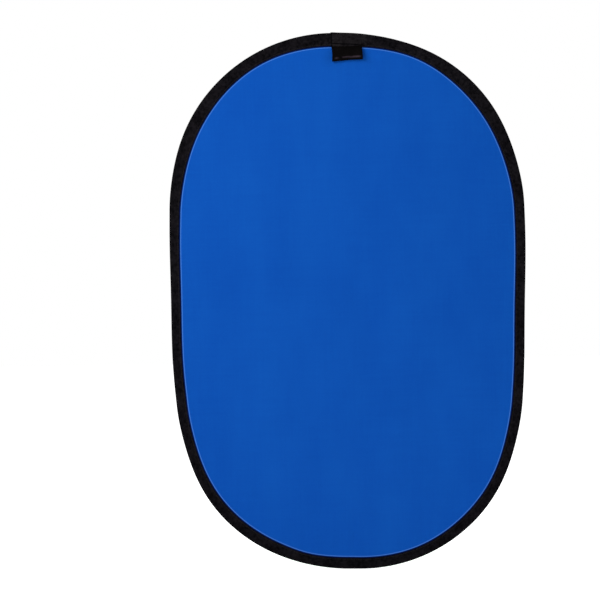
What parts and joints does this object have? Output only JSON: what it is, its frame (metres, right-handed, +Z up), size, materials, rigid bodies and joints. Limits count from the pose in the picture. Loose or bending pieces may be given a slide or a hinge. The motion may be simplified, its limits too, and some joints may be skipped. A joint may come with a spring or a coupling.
{
  "type": "collapsible background panel",
  "caption": "Oblong pop-up studio panel: blue and green cloth faces on a sprung steel hoop with a black bound rim and a webbing hanging loop.",
  "frame": {"origin": "top edge of the bound rim, midway across it and midway through its thickness, where a clamp or stand grips it", "axes": "+X to the right across the blue front face, +Y through the panel from the blue front to the green back, +Z up along its long axis"},
  "size_m": [0.9998, 0.0228, 1.5007],
  "materials": {
    "binding": "black woven polyester tape, dull with a slight sheen",
    "blue_cloth": "matt blue polyester cloth, stretched",
    "green_cloth": "matt green polyester cloth, stretched",
    "spring_steel": "blued spring steel",
    "joint_steel": "plated, crimped",
    "rivet_steel": "plated",
    "thread": "dark grey polyester thread",
    "webbing": "black ribbed webbing"
  },
  "bodies": {
    "upper_half": {"binding_upper": "binding", "blue_cloth_upper": "blue_cloth", "green_cloth_upper": "green_cloth", "steel_band_upper": "spring_steel", "edge_stitching_upper": "thread", "binding_lap_end": "binding", "lap_end_stitches": "thread", "hanging_loop_bar_tacks": "thread"},
    "fold_strip_1": {"binding_strip_1": "binding", "blue_cloth_strip_1": "blue_cloth", "green_cloth_strip_1": "green_cloth", "steel_band_strip_1": "spring_steel", "edge_stitching_strip_1": "thread"},
    "fold_strip_2": {"binding_strip_2": "binding", "blue_cloth_strip_2": "blue_cloth", "green_cloth_strip_2": "green_cloth", "steel_band_strip_2": "spring_steel", "edge_stitching_strip_2": "thread"},
    "fold_strip_3": {"binding_strip_3": "binding", "blue_cloth_strip_3": "blue_cloth", "green_cloth_strip_3": "green_cloth", "steel_band_strip_3": "spring_steel", "edge_stitching_strip_3": "thread"},
    "fold_strip_4": {"binding_strip_4": "binding", "blue_cloth_strip_4": "blue_cloth", "green_cloth_strip_4": "green_cloth", "steel_band_strip_4": "spring_steel", "edge_stitching_strip_4": "thread"},
    "fold_strip_5": {"binding_strip_5": "binding", "blue_cloth_strip_5": "blue_cloth", "green_cloth_strip_5": "green_cloth", "steel_band_strip_5": "spring_steel", "edge_stitching_strip_5": "thread"},
    "fold_strip_6": {"binding_strip_6": "binding", "blue_cloth_strip_6": "blue_cloth", "green_cloth_strip_6": "green_cloth", "steel_band_strip_6": "spring_steel", "edge_stitching_strip_6": "thread"},
    "fold_strip_7": {"binding_strip_7": "binding", "blue_cloth_strip_7": "blue_cloth", "green_cloth_strip_7": "green_cloth", "steel_band_strip_7": "spring_steel", "edge_stitching_strip_7": "thread"},
    "lower_half": {"binding_lower": "binding", "blue_cloth_lower": "blue_cloth", "green_cloth_lower": "green_cloth", "steel_band_lower": "spring_steel", "edge_stitching_lower": "thread", "band_joint_sleeve": "joint_steel", "band_joint_rivets": "rivet_steel"},
    "hanging_loop": {"hanging_loop": "webbing"}
  },
  "joints": [
    {"name": "fold_1", "type": "hinge", "parent": "upper_half", "child": "fold_strip_1", "pos_m": [0, 0, -0.531], "axis": [-1, 0, 0], "range_deg": [0, 22.5], "stiffness_Nm_per_rad": 4},
    {"name": "fold_2", "type": "hinge", "parent": "fold_strip_1", "child": "fold_strip_2", "pos_m": [0, 0, -0.595], "axis": [-1, 0, 0], "range_deg": [0, 22.5], "stiffness_Nm_per_rad": 4},
    {"name": "fold_3", "type": "hinge", "parent": "fold_strip_2", "child": "fold_strip_3", "pos_m": [0, 0, -0.659], "axis": [-1, 0, 0], "range_deg": [0, 22.5], "stiffness_Nm_per_rad": 4},
    {"name": "fold_4", "type": "hinge", "parent": "fold_strip_3", "child": "fold_strip_4", "pos_m": [0, 0, -0.723], "axis": [-1, 0, 0], "range_deg": [0, 22.5], "stiffness_Nm_per_rad": 4},
    {"name": "fold_5", "type": "hinge", "parent": "fold_strip_4", "child": "fold_strip_5", "pos_m": [0, 0, -0.787], "axis": [-1, 0, 0], "range_deg": [0, 22.5], "stiffness_Nm_per_rad": 4},
    {"name": "fold_6", "type": "hinge", "parent": "fold_strip_5", "child": "fold_strip_6", "pos_m": [0, 0, -0.851], "axis": [-1, 0, 0], "range_deg": [0, 22.5], "stiffness_Nm_per_rad": 4},
    {"name": "fold_7", "type": "hinge", "parent": "fold_strip_6", "child": "fold_strip_7", "pos_m": [0, 0, -0.915], "axis": [-1, 0, 0], "range_deg": [0, 22.5], "stiffness_Nm_per_rad": 4},
    {"name": "fold_8", "type": "hinge", "parent": "fold_strip_7", "child": "lower_half", "pos_m": [0, 0, -0.979], "axis": [-1, 0, 0], "range_deg": [0, 22.5], "stiffness_Nm_per_rad": 4},
    {"name": "loop_swing", "type": "hinge", "parent": "upper_half", "child": "hanging_loop", "pos_m": [0, -0.0043, -0.0355], "axis": [-1, 0, 0], "range_deg": [0, 150]}
  ],
  "couplings": [
    {"joint": "fold_2", "follows": "fold_1", "ratio": 1},
    {"joint": "fold_3", "follows": "fold_1", "ratio": 1},
    {"joint": "fold_4", "follows": "fold_1", "ratio": 1},
    {"joint": "fold_5", "follows": "fold_1", "ratio": 1},
    {"joint": "fold_6", "follows": "fold_1", "ratio": 1},
    {"joint": "fold_7", "follows": "fold_1", "ratio": 1},
    {"joint": "fold_8", "follows": "fold_1", "ratio": 1}
  ]
}
